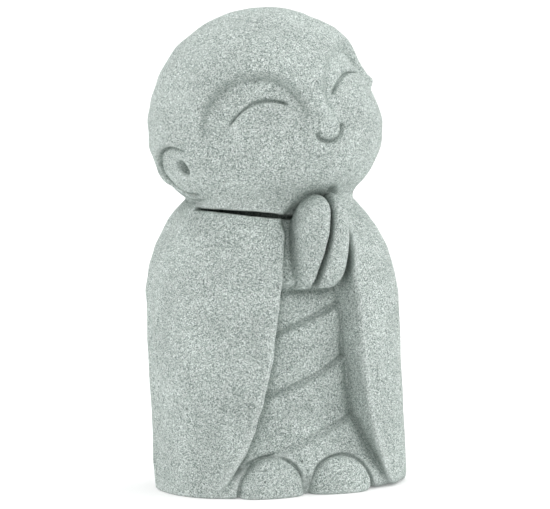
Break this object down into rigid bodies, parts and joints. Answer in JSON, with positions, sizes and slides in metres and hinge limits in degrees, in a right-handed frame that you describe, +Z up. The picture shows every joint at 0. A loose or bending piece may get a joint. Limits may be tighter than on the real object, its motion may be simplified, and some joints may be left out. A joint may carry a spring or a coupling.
{
  "type": "stone jizo statue",
  "caption": "Small cast-stone figure of a child monk with a round tilted head, hands pressed together, a long open cloak and bare feet, on a flat underside.",
  "frame": {"origin": "centre of the statue's outline, on the ground that it stands on", "axes": "+Z up; the statue faces -Y, and its own left hand side is +X"},
  "size_m": [0.043, 0.0388, 0.08],
  "materials": {
    "sandstone": "matte"
  },
  "bodies": {
    "root": {"jizo_statue": "sandstone"}
  },
  "joints": []
}
